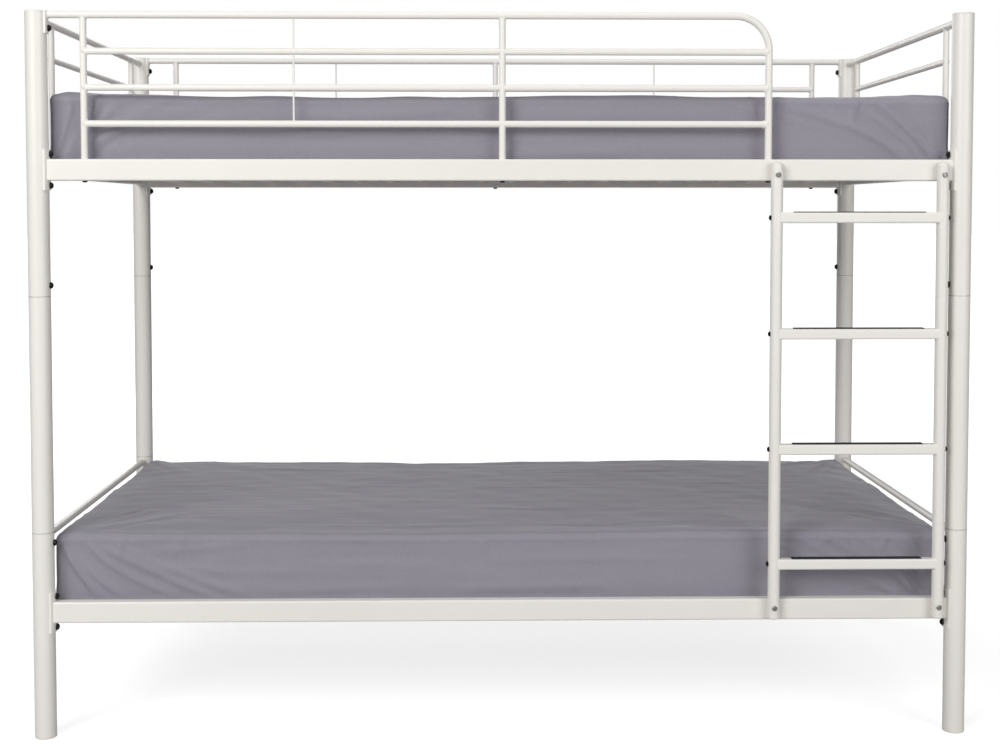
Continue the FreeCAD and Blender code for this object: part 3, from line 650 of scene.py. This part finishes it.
def add_block(bm, low, high, edge):
    """A block with slightly rounded edges."""
    made = bmesh.ops.create_cube(bm, size=1.0)["verts"]
    bmesh.ops.scale(bm, vec=high - low, verts=made)
    bmesh.ops.translate(bm, vec=(high + low) / 2, verts=made)
    edges = list({e for v in made for e in v.link_edges})
    bmesh.ops.bevel(bm, geom=edges, offset=edge, segments=1, profile=0.5, affect="EDGES",
                    material=-1)


def add_disc(bm, low, high, top_edge, bottom_edge):
    """An upright round piece that fills a box, with rounded rims."""
    radius = (high.x - low.x) / 2
    before = set(bm.verts)
    bmesh.ops.create_cone(bm, cap_ends=True, segments=64, radius1=radius, radius2=radius,
                          depth=high.z - low.z)
    made = [v for v in bm.verts if v not in before]
    bmesh.ops.translate(bm, vec=(high + low) / 2, verts=made)
    for level, edge in ((high.z, top_edge), (low.z, bottom_edge)):
        rim = {e for v in bm.verts if v not in before for e in v.link_edges
               if all(abs(w.co.z - level) < 0.00001 for w in e.verts)}
        bmesh.ops.bevel(bm, geom=list(rim), offset=edge, segments=3, profile=0.5, affect="EDGES",
                        material=-1)


def shade_by_angle(piece, degrees):
    """Smooth a piece, but keep its edges above an angle sharp."""
    piece.data.shade_smooth()
    piece.data.set_sharp_from_angle(angle=math.radians(degrees))


def build_treads():
    """Ribbed rubber strips on the rungs."""
    bm = bmesh.new()
    for low, high in solids_of("rung_treads"):
        sole = low.z + TREAD_SOLE
        add_block(bm, low, Vector((high.x, high.y, sole)), 0.0003)
        pitch = (high.y - low.y) / TREAD_RIBS
        for i in range(TREAD_RIBS):
            middle = low.y + (i + 0.5) * pitch
            half = RIB_HALF_WIDTH * pitch
            # Each rib is rooted a little way down in the sole.
            add_block(bm, Vector((low.x + TREAD_EDGE, middle - half, sole - 0.0004)),
                      Vector((high.x - TREAD_EDGE, middle + half, high.z)), 0.00025)
    finish_piece(bm, "ribbed_treads", RUBBER, "black_rubber", "rung_treads")


def build_post_ends():
    """Moulded caps and feet with rounded rims; their spigots are out of sight in the tubes."""
    top = max(high.z for low, high in solids_of("post_caps"))
    tube_top = box_corners("front_left_post_upper")[1].z
    bm = bmesh.new()
    for low, high in solids_of("post_caps"):
        add_disc(bm, Vector((low.x, low.y, tube_top)), Vector((high.x, high.y, top)),
                 0.0022, 0.0005)
    caps = finish_piece(bm, "rounded_post_caps", PLASTIC, "white_plastic", "post_caps")
    shade_by_angle(caps, SHARP_ANGLE)
    tube_foot = box_corners("front_left_post_lower")[0].z
    bm = bmesh.new()
    for low, high in solids_of("post_feet"):
        add_disc(bm, low, Vector((high.x, high.y, tube_foot)), 0.0006, 0.0015)
    feet = finish_piece(bm, "rounded_post_feet", PLASTIC, "white_plastic", "post_feet")
    shade_by_angle(feet, SHARP_ANGLE)


def build_seam_sleeve_and_shade_rings():
    """The sleeve's steel showing as a hairline where two sections of a post meet, a grey ring that also
    paints the shade of the joint's shadow line.
    """
    proud = Vector((SEAM_PROUD, SEAM_PROUD, 0.0))
    bm = bmesh.new()
    for section in ("lower", "middle"):
        for row in ("front", "back"):
            for side in ("left", "right"):
                low, high = box_corners(f"{row}_{side}_post_{section}")
                seam_low = Vector((low.x, low.y, high.z - SEAM_GAP / 2)) - proud
                seam_high = Vector((high.x, high.y, high.z + SEAM_GAP / 2)) + proud
                add_disc(bm, seam_low, seam_high, SEAM_PROUD, SEAM_PROUD)
    # The ring's zinc grey is painted shade for the joint's shadow line, as well as the sleeve's steel.
    rings = finish_piece(bm, "post_seam_sleeve_and_shade_rings", ZINC, "zinc_steel")
    shade_by_angle(rings, SHARP_ANGLE)


def add_bead(bm, centre, along, main, radius, main_radius):
    """A weld bead where a branch tube, going away along one axis, meets a round main tube."""
    before = set(bm.verts)
    bmesh.ops.create_circle(bm, segments=8, radius=BEAD_SIZE)
    section = [v for v in bm.verts if v not in before]
    bmesh.ops.rotate(bm, cent=(0, 0, 0), matrix=Matrix.Rotation(math.pi / 2, 3, "X"), verts=section)
    bmesh.ops.translate(bm, vec=(radius, 0, 0), verts=section)
    edges = list({e for v in section for e in v.link_edges})
    bmesh.ops.spin(bm, geom=section + edges, cent=(0, 0, 0), axis=(0, 0, 1), angle=2 * math.pi,
                   steps=36, use_merge=True)
    made = [v for v in bm.verts if v not in before]
    across = main.cross(along)
    turn = Matrix((across, main, along)).transposed()
    for point in made:
        ripple = BEAD_RIPPLE * math.sin(BEAD_RIPPLES * math.atan2(point.co.y, point.co.x))
        stand = math.sqrt(max(main_radius ** 2 - min(abs(point.co.x), radius) ** 2, 0.0))
        point.co.z += stand + ripple
        point.co = centre + turn @ point.co
        # The guards are as high as the post caps, and a bead on top of one is dressed flush.
        point.co.z = min(point.co.z, cad_box[1][2])


def build_weld_beads():
    """Small coated weld beads at the ends of the welded round tubes."""
    post = box_corners("front_left_post_upper")
    post_radius = (post[1].x - post[0].x) / 2
    bracket = post_radius + BRACKET_PLATE
    # Tube, the axis it runs along, the axis of what it meets, and that one's radius at its
    # low and high end; None where that end isn't welded to a round tube.
    joints = [
        ("front_guard_rails", 0, 2, GUARD_BAR, GUARD_BAR),
        ("back_guard_rails", 0, 2, GUARD_BAR, GUARD_BAR),
        ("front_guard_uprights", 2, 0, None, GUARD_TOP),
        ("back_guard_uprights", 2, 0, None, GUARD_TOP),
        ("front_guard_top_tube", 0, 2, bracket, None),
        ("back_guard_top_tube", 0, 2, bracket, bracket),
    ]
    for side in ("left", "right"):
        joints += [
            (f"{side}_upper_end_uprights", 2, 1, None, END_RAIL),
            (f"{side}_upper_end_bar", 1, 2, END_BAR, END_BAR),
            (f"{side}_upper_end_rail", 1, 2, post_radius, post_radius),
            (f"{side}_lower_end_rail", 1, 2, post_radius, post_radius),
        ]
    axes = [Vector((1, 0, 0)), Vector((0, 1, 0)), Vector((0, 0, 1))]
    bm = bmesh.new()
    for node_name, branch, main, low_radius, high_radius in joints:
        for low, high in solids_of(node_name):
            across = 1 if branch == 0 else 0
            radius = (high[across] - low[across]) / 2
            middle = (low + high) / 2
            if branch != 2:
                middle.z = high.z - radius   # the front guard's box also holds its bent end
            for end, sign, main_radius in ((low, 1, low_radius), (high, -1, high_radius)):
                if main_radius is None:
                    continue
                centre = middle.copy()
                inside = math.sqrt(max(main_radius ** 2 - radius ** 2, 0.0))
                centre[branch] = end[branch] - sign * inside
                add_bead(bm, centre, sign * axes[branch], axes[main], radius, main_radius)
    bmesh.ops.remove_doubles(bm, verts=bm.verts, dist=0.00001)
    beads = finish_piece(bm, "weld_beads", COAT, "white_powder_coat")
    beads.data.shade_smooth()


build_treads()
build_post_ends()
build_seam_sleeve_and_shade_rings()
build_weld_beads()


# ---------------------------------------------------------------------- floor, light, camera
def build_floor():
    """A wide pale floor under the feet."""
    bm = bmesh.new()
    bmesh.ops.create_circle(bm, cap_ends=True, segments=64, radius=60.0)
    mesh = bpy.data.meshes.new("floor")
    bm.to_mesh(mesh)
    bm.free()
    floor = finished_object("floor", mesh)
    material, tree, output, place = new_material("pale_studio_floor")
    # The floor looks as bright as the surround, but it throws little light back up.
    away = add_node(tree, "ShaderNodeVectorMath", {0: place}, operation="LENGTH")
    spread = add_node(tree, "ShaderNodeMapRange", {
        "Value": away.outputs["Value"], "From Min": 1.6, "From Max": 6.0,
        "To Min": 0.74, "To Max": 1.05,
    })
    ray = add_node(tree, "ShaderNodeLightPath")
    glow = add_node(tree, "ShaderNodeMath", {
        0: ray.outputs["Is Camera Ray"], 1: spread.outputs["Result"],
    }, operation="MULTIPLY")
    shader = add_node(tree, "ShaderNodeBsdfPrincipled", {
        "Base Color": linear("#C8C8C8"), "Roughness": 0.9, "Specular IOR Level": 0.1,
        "Emission Color": linear("#FFFFFF"), "Emission Strength": glow.outputs["Value"],
    })
    tree.links.new(shader.outputs["BSDF"], output.inputs["Surface"])
    mesh.materials.append(material)


def area_light(name, place, target, size, power):
    """A square soft light that looks at a target."""
    data = bpy.data.lights.new(name, "AREA")
    data.shape = "SQUARE"
    data.size = size
    data.energy = power
    light = bpy.data.objects.new(name, data)
    light.location = place
    light.rotation_euler = (Vector(target) - Vector(place)).to_track_quat("-Z", "Y").to_euler()
    bpy.context.scene.collection.objects.link(light)


def build_light():
    """A white studio: an even white surround, two soft boxes in front, one behind, one above."""
    world = bpy.data.worlds.new("white_studio")
    bpy.context.scene.world = world
    world.use_nodes = True
    tree = world.node_tree
    tree.nodes.clear()
    ray = add_node(tree, "ShaderNodeLightPath")
    strength = add_node(tree, "ShaderNodeMapRange", {
        "Value": ray.outputs["Is Camera Ray"], "To Min": 0.17, "To Max": 1.0,
    })
    surround = add_node(tree, "ShaderNodeBackground", {
        "Color": linear("#FFFFFF"), "Strength": strength.outputs["Result"],
    })
    add_node(tree, "ShaderNodeOutputWorld", {"Surface": surround.outputs["Background"]})
    area_light("key_softbox", (-2.6, -4.2, 3.0), (0.0, 0.0, 0.8), 2.4, 158.0)
    area_light("fill_softbox", (3.2, -4.4, 2.2), (0.0, 0.0, 0.7), 2.8, 92.0)
    area_light("back_softbox", (-1.6, 5.0, 2.6), (0.0, 0.0, 0.8), 3.0, 80.0)
    area_light("top_softbox", (0.3, -0.4, 4.2), (0.0, 0.0, 0.8), 2.4, 34.0)


def build_camera():
    """A camera before the ladder side, a little left of the middle and tipped down slightly."""
    data = bpy.data.cameras.new("camera")
    data.sensor_width = 36.0
    data.lens = 51.8
    data.shift_y = -0.10
    camera = bpy.data.objects.new("camera", data)
    camera.location = (-0.062, -3.476, 1.115)
    tip_down, turn_right = math.radians(2.62), math.radians(1.085)
    camera.rotation_euler = (math.pi / 2 - tip_down, 0.0, -turn_right)
    bpy.context.scene.collection.objects.link(camera)
    bpy.context.scene.camera = camera


build_floor()
build_light()
build_camera()
bpy.context.scene.view_settings.view_transform = "Standard"
bpy.context.scene.view_settings.look = "None"
